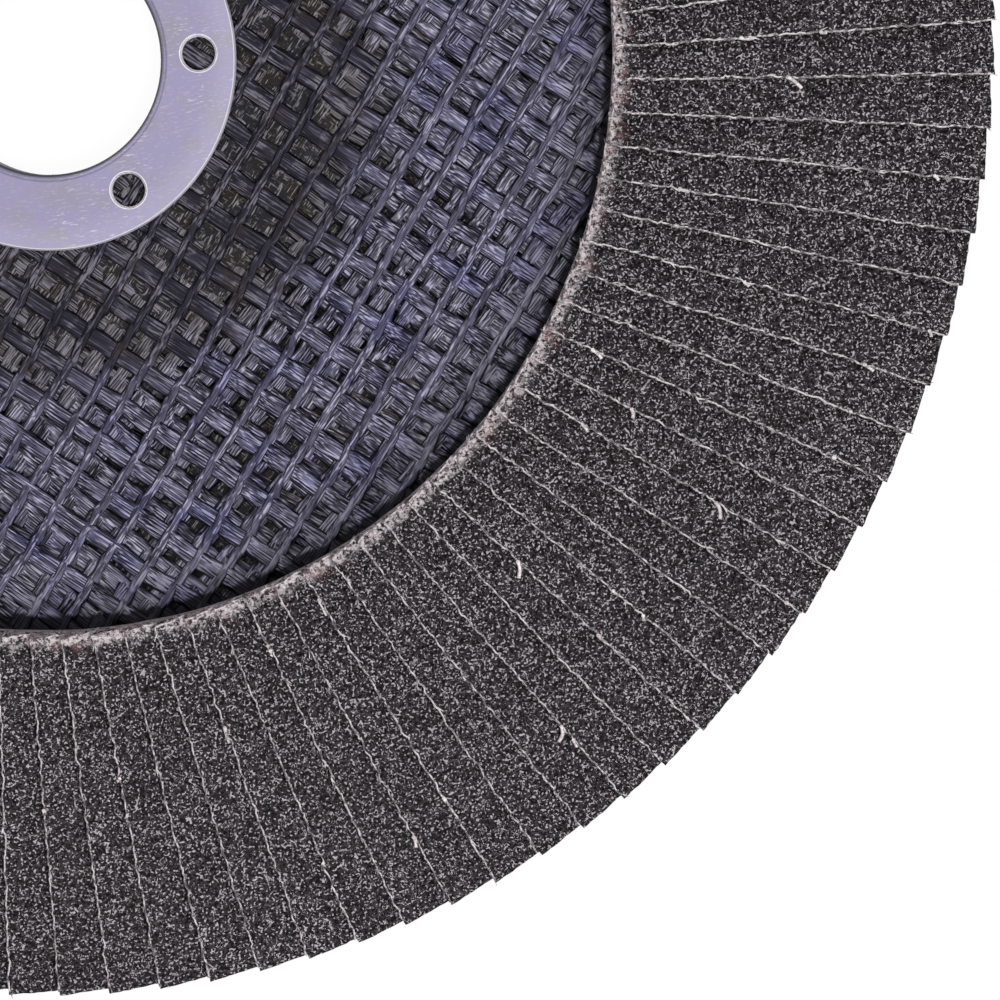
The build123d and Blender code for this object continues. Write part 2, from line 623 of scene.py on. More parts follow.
@dataclass(frozen=True)
class StrandFinish:
    """Glass strand in resin: filaments along one heading, smoother and darker on the hub. Where
    set, painted light lightens it towards the flaps with painted highlights on some filaments, and
    a painted shadow darkens its foot by the flaps; painted shade darkens its sides.
    """

    name: str
    heading: float
    hub: Tones
    web: Tones
    filament: float = 0.15
    comb: float = 21.0
    cracked_and_edge_shaded: float = 0.5
    web_cracked_and_edge_shaded: float = 0.95
    web_starts: Span = (27.8, 36.8)
    # painted light towards the flaps: its strength, its span of radii and its tone
    added_light: float = 0.6
    painted_light_starts: Span = (48.5, 53.0)
    painted_light_tone: Colour = srgb(196, 192, 214)
    glint: Colour = srgb(190, 186, 206)
    blue: Colour = srgb(112, 108, 164)
    brown: Colour = srgb(48, 41, 38)
    bare: Colour = srgb(108, 105, 116)
    ring_edge: Span = (20.0, 25.0)
    crack_and_edge_shade: Colour = srgb(9, 8, 12)
    # painted shadow at the foot of the flaps' inner wall: its strength, span of radii and colour
    foot_shade: float = 0.93
    foot_starts: Span = (53.8, 54.3)
    foot_shadow: Colour = srgb(9, 8, 11)

    def cracks_and_edge_shade(self, net: ShaderNet, where: Sock) -> Sock:
        """Gaps between the filaments, and painted shade along the strand's sides.

        Args:
            net: the material's tree.
            where: place in millimetres.

        Returns:
            One in a gap and in the painted side shade, and zero on a filament.
        """
        _, across, _ = net.split(net.turned(where, self.heading, 1.0, 1.0))
        drift = net.streaks(where, self.heading, 0.16, 0.7)
        comb = (across * self.comb + drift * 16.0).sin().ramp(0.25, 0.85)
        kept = net.streaks(where, self.heading, 0.5, 1.3).ramp(0.42, 0.52)
        side = net.add("ShaderNodeAttribute", {"attribute_name": SIDE}, None, "Fac")
        # painted shade along the strand's sides, beside the dark gaps between filaments
        return (comb * kept).at_least(side.ramp(0.84, 1.0) * 0.75)

    def build(self) -> Material:
        """Makes the material.

        Returns:
            The material.
        """
        net = ShaderNet(self.name)
        where = net.place()
        reach = net.radius(where)
        web = (reach + (net.noise(where, 0.35) - 0.5) * 9.0).ramp(*self.web_starts)
        hub = 1 - web
        lines = net.streaks(where, self.heading, 0.12, 1 / self.filament)
        fine = lines.ramp(0.42, 0.58)
        tone = net.streaks(where, self.heading, 0.2, 0.6, 2.0, 0.6).ramp(0.32, 0.68)
        light = fine * 0.55 + tone * 0.45
        colour = net.blend(web, net.blend(light, *self.hub), net.blend(light, *self.web))
        # painted light: lightens the strands over the outer radii, towards the flaps
        added_light = reach.ramp(*self.painted_light_starts) * light * self.added_light
        colour = net.blend(added_light, colour, self.painted_light_tone)
        # painted highlights on some filaments of the web, only where painted light is set
        if self.added_light:
            colour = net.blend(lines.ramp(0.57, 0.66) * (web * 0.45 + 0.1), colour, self.glint)
        colour = net.blend(net.noise(where, 0.22, 1.0).ramp(0.48, 0.68) * web * 0.45,
                           colour, self.blue, "SOFT_LIGHT")
        brown = net.noise(net.shifted(where, 40, 7, 0), 0.3).ramp(0.5, 0.7)
        colour = net.blend(brown * hub * 0.56, colour, self.brown)
        bare = net.noise(net.shifted(where, 0, 33, 0), 0.32, 3.0, 0.6)
        bare = (bare + reach.ramp(*self.ring_edge, 0.1, 0.0)).ramp(0.52, 0.60) * hub
        colour = net.blend(bare * fine * 0.8, colour, self.bare)
        cracks_and_edge_shade = self.cracks_and_edge_shade(net, where)
        share = web * (self.web_cracked_and_edge_shaded - self.cracked_and_edge_shaded) + self.cracked_and_edge_shaded
        # dark gaps between filaments and painted shade along the strand's sides
        colour = net.blend(cracks_and_edge_shade * share.at_least(bare * 0.75), colour, self.crack_and_edge_shade)
        # painted shadow at the foot of the flaps' inner wall
        shade = (reach + (tone - 0.5) * 0.5).ramp(*self.foot_starts)
        colour = net.blend(shade * self.foot_shade, colour, self.foot_shadow)
        normal = net.bump(lines * 0.6 - cracks_and_edge_shade * 0.4 + 0.4, 0.16, 0.9)
        return net.dress(colour, fine * 0.2 + 0.5, normal, Specular_IOR_Level=0.08)


@dataclass(frozen=True)
class ResinFinish:
    """Dark resin between and under the strands, with fibres in it, faint brown patches and painted
    glints.
    """

    name: str
    dark: Colour
    brown: Colour
    flooded: Colour
    brown_flood: Colour
    glint: Colour
    flood_ends: Span = (26.0, 34.0)
    fibre_heading: float = 57.5
    cross_heading: float = -32.5

    def build(self) -> Material:
        """Makes the material.

        Returns:
            The material.
        """
        net = ShaderNet(self.name)
        where = net.place()
        patch = net.noise(where, 0.35, 3.0).ramp(0.42, 0.66)
        colour = net.blend(patch, self.dark, self.brown)
        flood = (net.radius(where) + (patch - 0.5) * 5.0).ramp(*self.flood_ends, 1.0, 0.0)
        tint = net.noise(net.shifted(where, 5, 50, 5), 0.25, 3.0).ramp(0.44, 0.58)
        colour = net.blend(flood * 0.9, colour, net.blend(tint, self.flooded, self.brown_flood))
        # bright specks: painted glints on the resin; the same noise also bends its normal
        grit = net.noise(where, 2.6, 3.0, 0.7)
        colour = net.blend(grit.ramp(0.6, 0.74) * 0.22, colour, self.glint)
        bundle = net.noise(net.shifted(where, 9, 0, 4), 0.75).ramp(0.44, 0.56)
        fibres = net.streaks(where, self.fibre_heading, 0.75, 6.5).ramp(0.55, 0.62)
        colour = net.blend(fibres * bundle * 0.5, colour, self.glint)
        crossed = net.streaks(where, self.cross_heading, 0.8, 5.5).ramp(0.61, 0.66)
        colour = net.blend(crossed * (1 - bundle) * 0.3, colour, self.glint)
        normal = net.bump(grit, 0.12, 0.8)
        return net.dress(colour, patch * 0.25 + 0.3, normal, Specular_IOR_Level=0.1)


@dataclass(frozen=True)
class RingFinish:
    """Plated sheet steel, matt from tumbling, with short light scratches and greyer clouds, painted
    highlights on its hole edges, rim and flange, and painted dark reflections at the bore's lip.
    """

    name: str
    plain: Colour
    cloud: Colour
    scratch: Colour
    # colour of the painted highlights on the hole edges, the rim and the flange
    bright: Colour
    # colour of the painted dark reflections at the bore
    dark_reflection: Colour
    holes: int = 6
    hole_circle: float = 14.86
    hole_angle: float = 2.5
    # radii of the painted highlights: hole edges, outer rim and flange
    hole_edge_highlight: Span = (1.8, 1.9)
    rim: Span = (18.22, 18.36)
    flange: Span = (15.2, 17.8)
    # radii of the painted dark reflections at the bore's lip and just outside it
    lip: Span = (11.25, 11.42)
    groove_in: Span = (11.62, 11.72)
    groove_out: Span = (11.78, 11.92)
    brushing: float = 12.0
    scratching: float = 8.0

    def from_hole(self, net: ShaderNet, where: Sock) -> Sock:
        """Distance from the centre of the nearest hole.

        Args:
            net: the material's tree.
            where: place in millimetres.

        Returns:
            The distance in millimetres.
        """
        reach = net.radius(where)
        x, y, _ = net.split(where)
        sector = 2 * math.pi / self.holes
        swung = (y.bearing(x) + (4 * sector - math.radians(self.hole_angle))) / sector
        fold = (swung - (swung + 0.5).floor()) * sector
        return (reach * reach + self.hole_circle**2
                - reach * fold.cos() * (2 * self.hole_circle)) ** 0.5

    def build(self) -> Material:
        """Makes the material.

        Returns:
            The material.
        """
        net = ShaderNet(self.name)
        where = net.place()
        reach = net.radius(where)
        clouds = net.noise(where, 0.28, 3.0, 0.55).ramp(0.4, 0.66)
        colour = net.blend(clouds * 0.8, self.plain, self.cloud)
        fine = net.streaks(where, self.brushing, 1.3, 5.0, 2.0, 0.6)
        colour = net.blend(fine.ramp(0.56, 0.66) * 0.2, colour, self.scratch)
        short = net.streaks(where, self.scratching, 1.3, 7.5).ramp(0.64, 0.72)
        worn = net.noise(where, 0.16).ramp(0.5, 0.62)
        colour = net.blend(short * worn * 0.6, colour, self.scratch)
        # painted highlights on the hole edges and the outer rim, and a faint painted lightening of
        # the flange outward
        uneven = net.noise(where, 0.9, 1.0).ramp(0.4, 0.6) * 0.25 + 0.75
        hole_edge_highlight = self.from_hole(net, where).ramp(*self.hole_edge_highlight, 1.0, 0.0) * uneven
        colour = net.blend(reach.ramp(*self.flange) * 0.07, colour, self.bright)
        colour = net.blend(hole_edge_highlight.at_least(reach.ramp(*self.rim) * 0.7), colour, self.bright)
        # painted dark reflections at the bore's lip and in a thin band just outside it
        groove = reach.ramp(*self.groove_in) * reach.ramp(*self.groove_out, 1.0, 0.0) * 0.35
        lip = reach.ramp(*self.lip, 1.0, 0.0) * 0.8
        colour = net.blend(lip.at_least(groove), colour, self.dark_reflection)
        rough = clouds * 0.08 - fine.ramp(0.5, 0.7) * 0.06 + 0.46
        return net.dress(colour, rough, net.bump(fine, 0.02, 0.3), Metallic=0.9)


@dataclass(frozen=True)
class GrainFinish:
    """Abrasive grain in dark size coat: close-set crystals, some of which catch the light."""

    name: str
    dark: Colour
    middle: Colour
    glint: Colour
    fuzz: Colour
    rust: Colour = srgb(132, 84, 90)
    grain: float = 0.3
    fuzz_ends: Span = (55.25, 56.35)
    rust_ends: Span = (55.4, 57.0)

    def build(self) -> Material:
        """Makes the material.

        Returns:
            The material.
        """
        net = ShaderNet(self.name)
        where = net.place()
        scale = 1 / self.grain
        lumps = net.noise(where, scale, 2.0, 0.65)
        colour = net.blend(lumps.ramp(0.37, 0.68), self.dark, self.middle)
        ridge = net.noise(net.shifted(where, 31, 5, 9), scale * 0.72, 1.0, 0.5, 0.6) - 0.5
        worm = (ridge * ridge).ramp(0.0, 0.0011, 1.0, 0.0)
        broken = net.noise(net.shifted(where, 3, 60, 2), scale * 0.55, 1.0).ramp(0.47, 0.60)
        sparse = net.noise(where, scale * 1.3, 0.0).ramp(0.62, 0.72) * 0.8
        lit = (worm * broken).at_least(sparse)
        colour = net.blend(lit, colour, self.glint)
        clouds = net.noise(where, 0.2).ramp(0.35, 0.65)
        colour = net.blend((1 - clouds) * 0.15, colour, self.dark)
        reach = net.radius(where) + (net.noise(where, 1.0, 3.0, 0.75) - 0.5) * 2.6
        fluff = net.noise(where, 2.2, 3.0, 0.75).ramp(0.40, 0.60)
        colour = net.blend(reach.ramp(*self.fuzz_ends, 1.0, 0.0) * fluff, colour, self.fuzz)
        rust = net.noise(net.shifted(where, 9, 9, 40), 0.5).ramp(0.52, 0.68)
        colour = net.blend(reach.ramp(*self.rust_ends, 0.28, 0.0) * rust, colour, self.rust)
        normal = net.bump(lumps * 0.7 + lit * 0.3, 0.22, 0.9)
        return net.dress(colour, 0.6 - lit * 0.15, normal, Specular_IOR_Level=0.05)


@dataclass(frozen=True)
class ClothFinish:
    """Backing cloth of the flaps: fine crossed threads, tinted here and there by its coats."""

    name: str
    thread: Colour
    tint: Colour
    gap: Colour
    threads_per_turn: float = 14.0

    def build(self) -> Material:
        """Makes the material.

        Returns:
            The material.
        """
        net = ShaderNet(self.name)
        where = net.place()
        fibres = net.noise(where, 4.2, 3.0, 0.7)
        patch = net.noise(where, 0.3, 4.0, 0.65).ramp(0.38, 0.66)
        colour = net.blend(patch, self.thread, self.tint)
        colour = net.blend(fibres.ramp(0.52, 0.36) * 0.7, colour, self.gap)
        x, y, _ = net.split(where)
        threads = (x * self.threads_per_turn).sin() * (y * self.threads_per_turn).sin()
        normal = net.bump(fibres * 0.7 + threads * 0.15, 0.12, 0.8)
        return net.dress(colour, 0.85, normal, Specular_IOR_Level=0.25, Sheen_Weight=0.15)


@dataclass(frozen=True)
class FibreFinish:
    """Loose cotton fibre, off-white with a grain of size coat here and there."""

    name: str
    pale: Colour
    soiled: Colour

    def build(self) -> Material:
        """Makes the material.

        Returns:
            The material.
        """
        net = ShaderNet(self.name)
        where = net.place()
        dirt = net.noise(where, 1.5, 3.0, 0.75).ramp(0.40, 0.60)
        colour = net.blend(dirt, self.pale, self.soiled)
        normal = net.bump(net.noise(where, 9.0), 0.03, 0.6)
        return net.dress(colour, 0.9, normal, Specular_IOR_Level=0.2, Sheen_Weight=0.2)


# ---- laminate ----


class Face(Enum):
    """The two faces of the laminate: the abrasive side and the back."""

    ABRASIVE = 1
    BACK = -1


@dataclass
class Strands:
    """One family of parallel strands of a glass net, laid on a face of the plate."""

    name: str
    heading: float
    spacing: float
    crossing: float
    width: float
    thickness: float
    depth: float
    inner: float
    outer: float
    seed: int
    step: float
    wave: float = 0.0
    phase: float = 0.0
    swing: float = 0.0
    shift: float = 0.0
    cross_shift: float = 0.0
    sides: int = 6
    face: Face = Face.ABRASIVE
    stray: float = 0.07
    rim_gap: float = 0.6
    end_stray: float = 0.3
    shortest: float = 1.0

    @property
    def along(self) -> Vector:
        """Direction of the strands."""
        heading = math.radians(self.heading)
        return Vector((math.cos(heading), math.sin(heading), 0))

    def guides(self) -> Object:
        """Straight runs from rim to rim, parted where they meet the bore.

        Returns:
            An object whose mesh has one edge for each run.
        """
        draw = random.Random(self.seed)
        along = self.along
        across = Vector((-along.y, along.x, 0))
        points, edges = [], []
        count = int(self.outer / self.spacing) + 1
        for row in range(-count, count + 1):
            off = (row + self.shift) * self.spacing
            off += draw.uniform(-self.stray, self.stray) * self.spacing
            if abs(off) > self.outer - self.rim_gap:
                continue
            reach = math.sqrt(self.outer**2 - off**2) - draw.uniform(0.0, self.end_stray)
            gap = math.sqrt(max(self.inner**2 - off**2, 0.0))
            runs = [(-reach, reach)] if gap == 0 else [(-reach, -gap), (gap, reach)]
            for start, end in runs:
                if end - start >= self.shortest:
                    edges.append((len(points), len(points) + 1))
                    points += [across * off + along * start, across * off + along * end]
        return placed(self.name + "_guides", mesh_of(self.name, points, (), edges))

    def build(self, tree: GeometryTree, material: Material) -> Object:
        """Sweeps the strands along their guides.

        Args:
            tree: the strand tree.
            material: their finish.

        Returns:
            The finished piece.
        """
        front = self.face is Face.ABRASIVE
        return tree.bake(self.guides(), self.name, {
            "Along": tuple(self.along), "Step": self.step, "Sides": self.sides,
            "Width": self.width, "Thickness": self.thickness, "Depth": self.depth,
            "Wave": self.wave, "Swing": self.swing, "Phase": self.phase,
            "Crossing": self.crossing, "Cross Shift": self.cross_shift,
            "Side": float(self.face.value),
            "Low Radius": SIZES.hub_radius if front else SIZES.hub_back_radius,
            "High Radius": SIZES.seat_radius if front else SIZES.seat_back_radius,
            "Low Level": SIZES.hub_top if front else 0.0,
            "High Level": SIZES.seat_top if front else SIZES.seat_back,
            "Material": material,
        })


class StrandTree(GeometryTree):
    """Sweeps a flat strand along straight guides, over and under the strands that it crosses."""

    def __init__(self) -> None:
        """Builds the tree."""
        super().__init__("strands")
        along, sides = self.given("Along", "Vector"), self.given("Sides", "Int")
        step, width, thick, depth = self.numbers("Step", "Width", "Thickness", "Depth")
        wave, swing, phase = self.numbers("Wave", "Swing", "Phase")
        crossing, shift, side = self.numbers("Crossing", "Cross Shift", "Side")
        slope = self.numbers("Low Radius", "High Radius", "Low Level", "High Level")
        material = self.given("Material", "Material")
        where = self.place()
        u = self.vector("DOT_PRODUCT", where, along, output="Value")
        angle = (u / crossing - shift) * (2 * math.pi) + phase
        ends = dict(zip(("From Min", "From Max", "To Min", "To Max"), slope))
        level = self.add("ShaderNodeMapRange", {"clamp": True},
                         {"Value": self.radius(where), **ends})
        sag = depth + thick * 0.5 + wave * (1 - angle.cos())
        rough = (self.noise(where, 0.6) - 0.5) * 0.12
        height = level - side * (sag + rough.at_least(0))
        across = self.vector("CROSS_PRODUCT", (0, 0, 1), along)
        sideways = swing * angle.sin() + (self.noise(where, 0.16) - 0.5) * 1.3
        offset = self.vector("SCALE", across, scale=sideways)
        curve = self.moved(self.curve(step), self.vector("ADD", offset, self.xyz(0, 0, height)))
        swell = (1 + (self.noise(where, 0.4) - 0.5) * 1.1) * (1 + wave * 2.2 * angle.cos())
        curve = self.add("GeometryNodeSetCurveNormal", {"mode": "Z_UP"},
                         {"Curve": self.widened(curve, swell)})
        x, _, _ = self.split(self.place())
        outline = self.add(
            "GeometryNodeStoreNamedAttribute", {"data_type": "FLOAT", "domain": "POINT"},
            {"Geometry": self.circle(sides, 0.5), "Name": SIDE, "Value": (x * x) ** 0.5 * 2})
        outline = self.add("GeometryNodeTransform", None,
                           {"Geometry": outline, "Scale": self.xyz(width, thick, 1.0)})
        strand = self.swept(curve, outline)
        strand = self.add("GeometryNodeSetShadeSmooth", None, {"Geometry": strand})
        self.close(self.dressed(self.realized(strand), material))


@dataclass(frozen=True)
class Layer:
    """One glass net of the abrasive side: where it lies and how wide and close its strands are."""

    name: str
    yarns: tuple[tuple[str, float], ...]
    step: float
    weft_width: float
    warp_width: float
    turn: float = 0.0
    depth: float = 0.0
    shift: float = 0.0
    weft_closer: float = 1.0
    warp_closer: float = 1.0


@dataclass
class Laminate:
    """The backing plate: a resin body with woven glass nets pressed into both of its faces."""

    weft_heading: float = -32.5
    warp_heading: float = 57.5
    weft_spacing: float = 4.1
    warp_spacing: float = 3.46
    net_inner: float = 12.2
    net_outer: float = 57.4
    under_turn: float = -4.0
    weft_depth: float = 0.08
    sunk: float = 1.1
    flooded: float = 0.5
    flood_radius: float = 27.0
    raised: float = 0.3
    uneven: float = 0.17
    segments: int = 300
    slot: str = "laminate"
    tree: StrandTree = field(default_factory=StrandTree)

    def layers(self) -> tuple[Layer, Layer]:
        """The two nets of the abrasive side, the shown one first."""
        over, below = ("over", 0.0), ("below", math.pi)
        return (Layer("top", (over, below), 0.65, 1.904, 0.8),
                Layer("under", (over,), 0.9, 2.72, 2.0, self.under_turn, 0.34, 0.47, 0.95, 0.92))

    def nets(self) -> list[tuple[Strands, str]]:
        """The strand families.

        Returns:
            Each family with the name of its finish.
        """
        made = []
        front = {"inner": self.net_inner, "outer": self.net_outer}
        for layer in self.layers():
            weft = self.weft_spacing * layer.weft_closer
            warp = self.warp_spacing * layer.warp_closer
            area = {**front, "step": layer.step, "shift": layer.shift, "cross_shift": layer.shift}
            made.append((Strands(
                f"glass_weft_{layer.name}", self.weft_heading + layer.turn, weft, warp,
                width=layer.weft_width, thickness=0.34, depth=layer.depth + self.weft_depth,
                wave=0.05, phase=math.pi, seed=3, **area), f"weft_{layer.name}"))
            made += [(Strands(
                f"glass_warp_{layer.name}_{yarn}", self.warp_heading + layer.turn, warp, weft,
                width=layer.warp_width, thickness=0.2, depth=layer.depth,
                wave=0.17, phase=phase, swing=0.12, seed=5, **area), f"warp_{layer.name}")
                for yarn, phase in layer.yarns]
        made.append((Strands(
            "glass_weft_deep", self.weft_heading - self.under_turn, weft, warp, width=2.6,
            thickness=0.3, depth=0.66, shift=0.2, step=1.2, sides=5, seed=13, **front),
            "weft_deep"))
        weft, warp = self.weft_spacing, self.warp_spacing
        back = {"inner": self.net_inner + 0.8, "outer": SIZES.plate_radius - 0.5, "step": 0.8,
                "sides": 5, "face": Face.BACK}
        made.append((Strands(
            "glass_weft_back", self.weft_heading, weft, warp, width=1.75, thickness=0.3, depth=0.06,
            wave=0.05, phase=math.pi, seed=7, **back), "weft_back"))
        made.append((Strands(
            "glass_warp_back", self.warp_heading, warp, weft, width=0.95, thickness=0.26, depth=0.0,
            wave=0.13, swing=0.2, seed=9, **back), "warp_back"))
        return made

    def finishes(self) -> dict[str, Material]:
        """The finishes of the strand families.

        Returns:
            Each material by its name.
        """
        hub, web = (srgb(22, 21, 28), srgb(45, 43, 54)), (srgb(17, 16, 23), srgb(122, 119, 144))
        plain_web = (srgb(56, 54, 68), srgb(103, 100, 122))
        low = (srgb(18, 16, 18), srgb(116, 112, 118)), (srgb(15, 14, 19), srgb(122, 119, 138))
        deep = (srgb(14, 13, 14), srgb(66, 62, 62)), (srgb(12, 11, 13), srgb(98, 95, 100))
        back = (srgb(40, 39, 45), srgb(84, 82, 94)), (srgb(46, 45, 56), srgb(112, 110, 132))
        shown = {"filament": 0.2, "cracked_and_edge_shaded": 0.05, "web_cracked_and_edge_shaded": 0.4}
        under = {"filament": 0.16, "cracked_and_edge_shaded": 0.9, "comb": 24.0}
        # the back's strands get no painted light and no painted shadow at the foot
        plain = {"added_light": 0.0, "foot_shade": 0.0}
        weft, warp, turn = self.weft_heading, self.warp_heading, self.under_turn
        made = (
            StrandFinish("weft_top", weft, hub, web, cracked_and_edge_shaded=0.1),
            StrandFinish("warp_top", warp, hub, plain_web, **shown),
            StrandFinish("weft_under", weft + turn, *low, **under),
            StrandFinish("warp_under", warp + turn, *low, **under),
            StrandFinish("weft_deep", weft - turn, *deep, filament=0.2),
            StrandFinish("weft_back", weft, *back, **plain),
            StrandFinish("warp_back", warp, *back, **plain),
        )
        return {finish.name: finish.build() for finish in made}

    def outline(self) -> list[tuple[float, float]]:
        """The resin body's section, sunk below the glass on both faces.

        Returns:
            Its corners, each a radius and a height.
        """
        s, rim, back_level = SIZES, SIZES.plate_radius, SIZES.seat_back + self.raised
        flood = (self.flood_radius, s.hub_radius), (self.flooded, self.sunk)
        floor = [(s.plate_bore, s.hub_top - self.flooded)]
        floor += [(r, s.hub_top - float(np.interp(r, *flood)))
                  for r in np.arange(13.0, s.hub_radius)]
        rise = (s.seat_top - s.hub_top) / (s.seat_radius - s.hub_radius)
        floor += [(r, s.hub_top - self.sunk + (r - s.hub_radius) * rise)
                  for r in np.linspace(s.hub_radius, s.seat_radius, 26)]
        seat = [(57.2, s.seat_top - self.sunk), (57.6, s.seat_top), (rim - 0.15, s.seat_top),
                (rim, s.seat_top - 0.2), (rim, s.seat_back + 0.25), (rim - 0.2, s.seat_back + 0.1),
                (rim - 0.8, back_level)]
        back = [(r, back_level) for r in np.arange(82.0, s.seat_back_radius, -3.0)]
        fall = s.seat_back / (s.seat_back_radius - s.hub_back_radius)
        back += [(r, self.raised + (r - s.hub_back_radius) * fall)
                 for r in np.linspace(s.seat_back_radius, s.hub_back_radius, 10)]
        back += [(r, self.raised) for r in np.arange(31.0, 14.0, -3.0)]
        return floor + seat + back + [(s.plate_bore + 1.0, self.raised), (s.plate_bore, 1.1)]

    def core(self, material: Material) -> Object:
        """The resin body, turned about the axis and uneven where it shows between the strands.

        Args:
            material: its finish.

        Returns:
            The finished piece.
        """
        section = self.outline()
        ends = (SIZES.plate_bore, SIZES.plate_radius)
        loose = [0.0 if r in ends or r > 57 and z > 6.5 else self.uneven for r, z in section]
        points, faces = [], []
        size = len(section)
        for turn in range(self.segments):
            angle = 2 * math.pi * turn / self.segments
            for (r, z), free in zip(section, loose):
                spot = Vector((r * math.cos(angle), r * math.sin(angle), z))
                spot.z += noise.noise(spot * 0.8) * free
                points.append(spot)
            here, there = turn * size, (turn + 1) % self.segments * size
            faces += [(here + k, there + k, there + after, here + after)
                      for k, after in zip(range(size), (*range(1, size), 0))]
        mesh = mesh_of("resin_body", points, faces)
        mesh.transform(Matrix.Scale(MM, 4))
        mesh.materials.append(material)
        mesh.polygons.foreach_set("use_smooth", [True] * len(mesh.polygons))
        return placed("resin_body", mesh)

    def build(self) -> None:
        """Builds the resin body and the nets."""
        resin = ResinFinish("laminate_resin", srgb(8, 7, 9), srgb(28, 23, 20), srgb(20, 20, 27),
                            srgb(25, 21, 19), srgb(152, 148, 152))
        on_root(self.core(resin.build()), self.slot, "backing_plate")
        dressed = self.finishes()
        for strands, finish in self.nets():
            on_root(strands.build(self.tree, dressed[finish]), self.slot, "backing_plate")


# ---- flaps ----


class FlapTree(GeometryTree):
    """Sets flaps around the bore and roughens their grain and their cut edges."""

    def __init__(self) -> None:
        """Builds the tree."""
        super().__init__("flap_set")
        count, seed = self.given("Count", "Int"), self.given("Seed", "Int")
        first, grit, ragged = self.numbers("First Angle", "Grit", "Ragged")
        grain, cloth = self.given("Grain", "Material"), self.given("Cloth", "Material")
        points = self.add("GeometryNodeMeshLine", None, {"Count": count, "Offset": (0, 0, 0)})
        index = self.add("GeometryNodeInputIndex")
        stray = self.random("FLOAT", Min=-0.0016, Max=0.0016, ID=index, Seed=seed)
        turn = self.xyz(0, 0, index * (2 * math.pi) / count + first + stray)
        fan = self.realized(self.spread(points, self.geometry, Rotation=turn))
        where = self.place()
        normal = self.add("GeometryNodeInputNormal")
        lumps = (self.noise(where, 1.5, 2.0, 0.7) - 0.5) * self.attribute("grit") * grit
        frayed = (self.noise(where, 1.1, 3.0, 0.7) - 0.5) * self.attribute("cut") * ragged
        inward = self.vector("NORMALIZE", self.vector("MULTIPLY", normal, (1, 1, 0)))
        offset = self.vector("ADD", self.vector("SCALE", normal, scale=lumps),
                             self.vector("SCALE", inward, scale=frayed))
        fan = self.moved(fan, self.vector("ADD", offset, self.sway(where)))
        self.close(self.dressed(self.dressed(fan, grain), cloth, self.attribute("cloth")))


class EdgeTree(GeometryTree):
    """Lays a line of cotton fuzz along guides and sets short fibres along it."""

    def __init__(self) -> None:
        """Builds the tree."""
        super().__init__("cut_edges")
        step, size, stray, share = self.numbers("Step", "Size", "Stray", "Share")
        length, splay, ceiling = self.numbers("Length", "Splay", "Ceiling")
        seed, material = self.given("Seed", "Int"), self.given("Material", "Material")
        where = self.place()
        shake = self.add("ShaderNodeTexNoise", None,
                         {"Vector": where, "Scale": 0.9, "Detail": 3.0, "Roughness": 0.7}, "Color")
        shake = self.vector("MULTIPLY", self.vector("SUBTRACT", shake, (0.5, 0.5, 0.46)),
                            self.xyz(stray, stray, 0.4))
        curve = self.moved(self.curve(step), self.vector("ADD", shake, self.sway(where)))
        lumps = self.noise(where, 1.9, 3.0, 0.8).ramp(0.36, 0.68, 0.3, 2.4)
        lumps = lumps * self.noise(where, 0.3, 1.0).ramp(0.4, 0.6, 0.6, 1.15)
        line = self.swept(self.widened(curve, lumps), self.circle(3, size))
        spots = self.add("GeometryNodeCurveToPoints", {"mode": "EVALUATED"}, {"Curve": curve})
        aligned = Sock(self, spots.socket.node.outputs["Rotation"])
        bent = self.random("FLOAT_VECTOR", Min=(-1.0, -1.0, 0.0), Max=(1.0, 1.0, 6.0), Seed=seed)
        turn = self.add("FunctionNodeRotateRotation", {"rotation_space": "LOCAL"},
                        {0: aligned, 1: self.vector("SCALE", bent, scale=splay)})
        stub = self.add("GeometryNodeMeshCone", {"fill_type": "TRIANGLE_FAN"},
                        {"Vertices": 3, "Side Segments": 1, "Radius Top": 0.02,
                         "Radius Bottom": size, "Depth": length}, "Mesh")
        grow = self.xyz(1.0, 1.0, self.random("FLOAT", Min=0.4, Max=1.3, Seed=seed))
        fibres = self.spread(spots, stub, Rotation=turn, Scale=grow,
                             Selection=self.random("BOOLEAN", Probability=share, Seed=seed))
        both = self.add("GeometryNodeJoinGeometry")
        for part in (line, fibres):
            self.tree.links.new(part.socket, both.socket.node.inputs[0])
        _, _, z = self.split(self.place())
        both = self.moved(self.realized(both), self.xyz(0, 0, (ceiling - z).at_most(0)))
        self.close(self.dressed(both, material))


class ThreadTree(GeometryTree):
    """Sweeps a thin, tapering thread along each bent guide."""

    def __init__(self) -> None:
        """Builds the tree."""
        super().__init__("loose_threads")
        size, material = self.given("Size"), self.given("Material", "Material")
        share = self.add("GeometryNodeSplineParameter", None, None, "Factor")
        taper = (share * 2.8).at_most(1.15 - share * share)
        taper = taper * self.noise(self.place(), 2.0).ramp(0.3, 0.7, 0.7, 1.5)
        thread = self.swept(self.widened(self.curve(), taper), self.circle(4, size))
        self.close(self.dressed(self.realized(thread), material))


@dataclass(frozen=True)
class Fuzz:
    """Cotton fuzz along the same cut lines of every flap, and the short fibres in it."""

    name: str
    lines: tuple[tuple[tuple[float, float, float], ...], ...]
    size: float
    stray: float
    share: float
    length: float
    splay: float
    seed: int
    finish: FibreFinish
    step: float = 0.3
    headroom: float = 0.2

    def values(self) -> dict[str, Any]:
        """The inputs of its tree, by name."""
        return {"Step": self.step, "Size": self.size, "Stray": self.stray, "Share": self.share,
                "Length": self.length, "Splay": self.splay, "Seed": self.seed,
                "Ceiling": SIZES.top + self.headroom, "Material": self.finish.build()}


